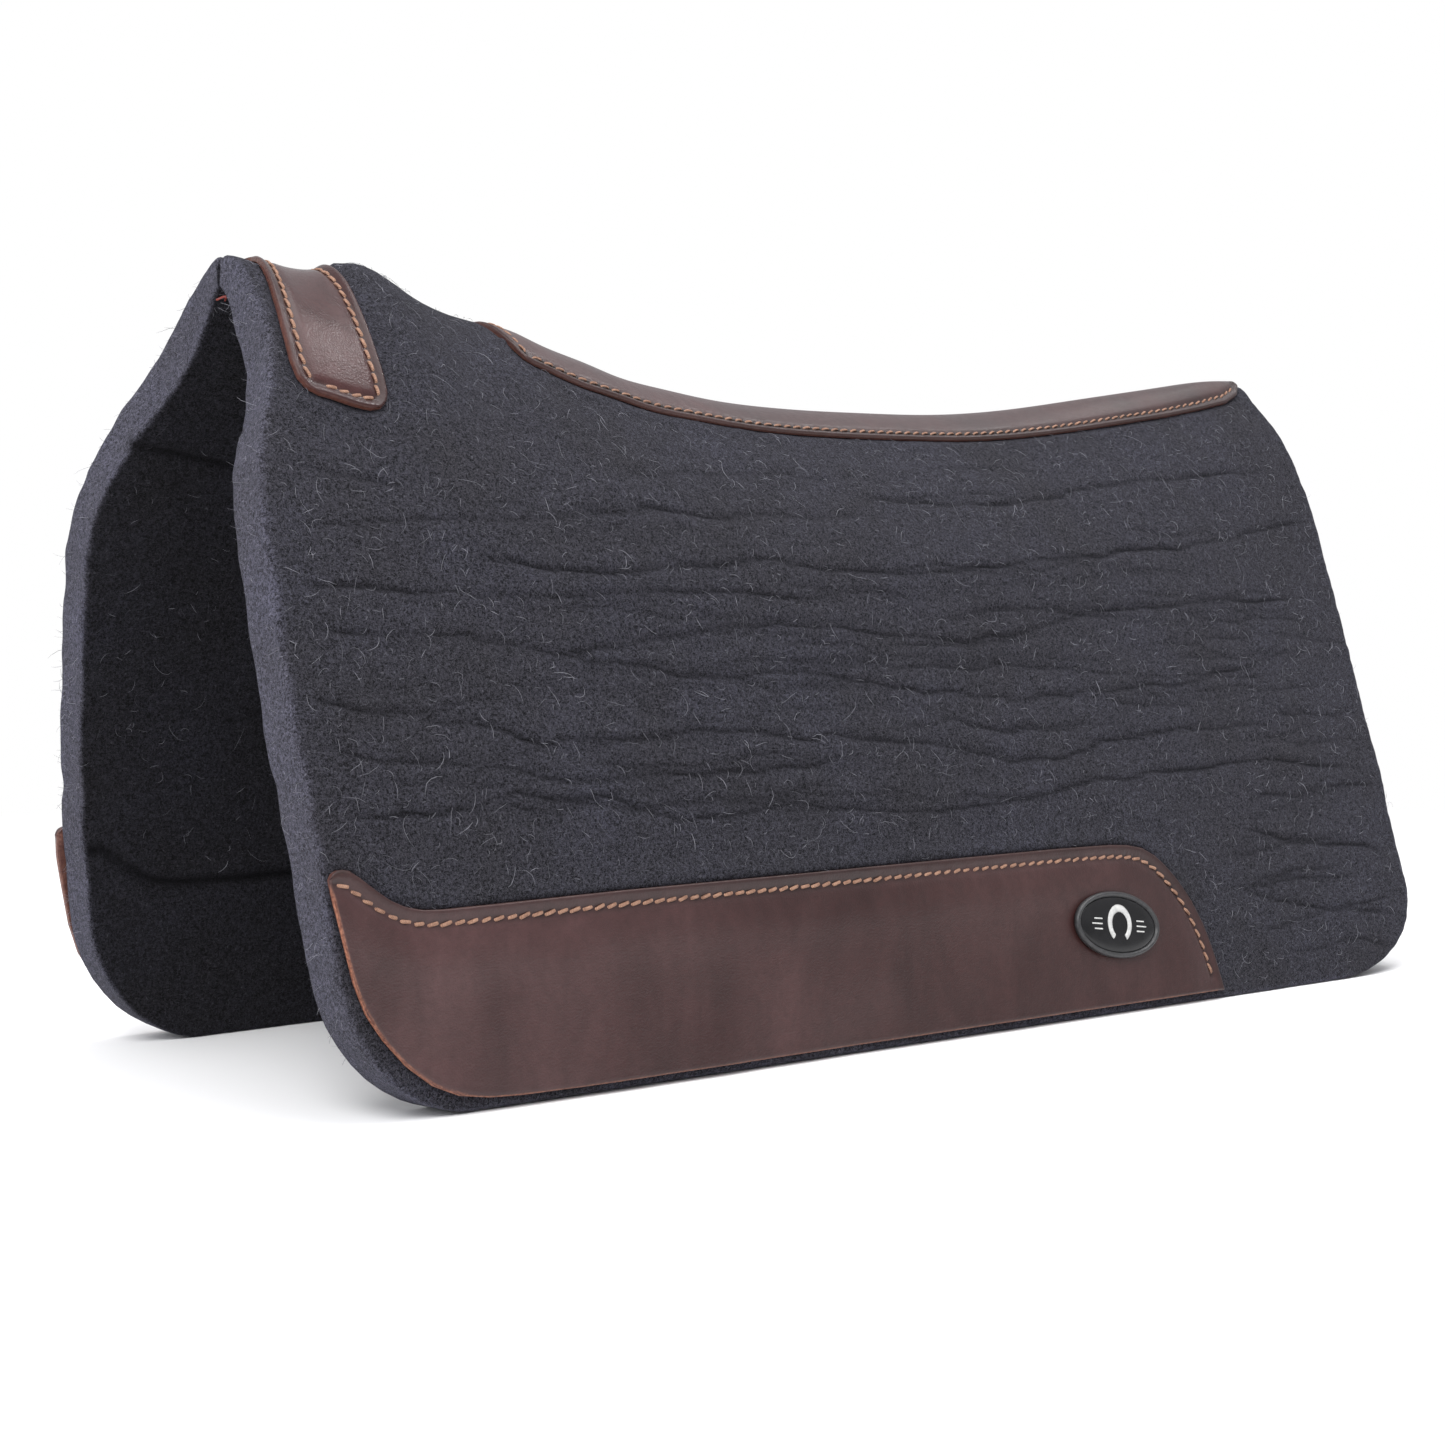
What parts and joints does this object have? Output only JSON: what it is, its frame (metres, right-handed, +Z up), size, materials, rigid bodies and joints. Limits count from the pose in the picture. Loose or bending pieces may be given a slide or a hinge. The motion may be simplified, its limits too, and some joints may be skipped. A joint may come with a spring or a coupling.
{
  "type": "western saddle pad",
  "caption": "Contoured thick felt saddle pad with a leather wither patch, spine strip, low wear leathers and an oval badge on each side.",
  "frame": {"origin": "in the symmetry plane, at the level of the bottom edges, half way along the length", "axes": "+X towards the rump, -X towards the withers, -Y the near (left) side, +Z up"},
  "size_m": [0.7145, 0.2776, 0.3596],
  "materials": {
    "felt": "matte wool felt",
    "leather": "semi-gloss oiled leather",
    "thread": "waxed thread",
    "badge_rim": "satin moulded rim",
    "badge_face": "glossy domed face",
    "badge_emblem": "pale print"
  },
  "bodies": {
    "crown": {"centre_seam_thread": "thread", "felt_crown_left": "felt", "felt_crown_right": "felt", "spine_strip": "leather", "spine_strip_stitching_left": "thread", "spine_strip_stitching_right": "thread", "wither_patch": "leather", "wither_patch_stitching": "thread"},
    "left_flap": {"badge_emblem_left": "badge_emblem", "badge_face_left": "badge_face", "badge_rim_left": "badge_rim", "felt_flap_left": "felt", "wear_leather_left": "leather", "wear_leather_stitching_left": "thread"},
    "right_flap": {"badge_emblem_right": "badge_emblem", "badge_face_right": "badge_face", "badge_rim_right": "badge_rim", "felt_flap_right": "felt", "wear_leather_right": "leather", "wear_leather_stitching_right": "thread"}
  },
  "joints": [
    {"name": "left_flex", "type": "hinge", "parent": "crown", "child": "left_flap", "pos_m": [0.0145, -0.06695, 0.2313], "axis": [-0.9993, -0.0366, 0], "range_deg": [-16, 25], "stiffness_Nm_per_rad": 22},
    {"name": "right_flex", "type": "hinge", "parent": "crown", "child": "right_flap", "pos_m": [0.0145, 0.06695, 0.2313], "axis": [0.9993, -0.0366, 0], "range_deg": [-16, 25], "stiffness_Nm_per_rad": 22}
  ]
}
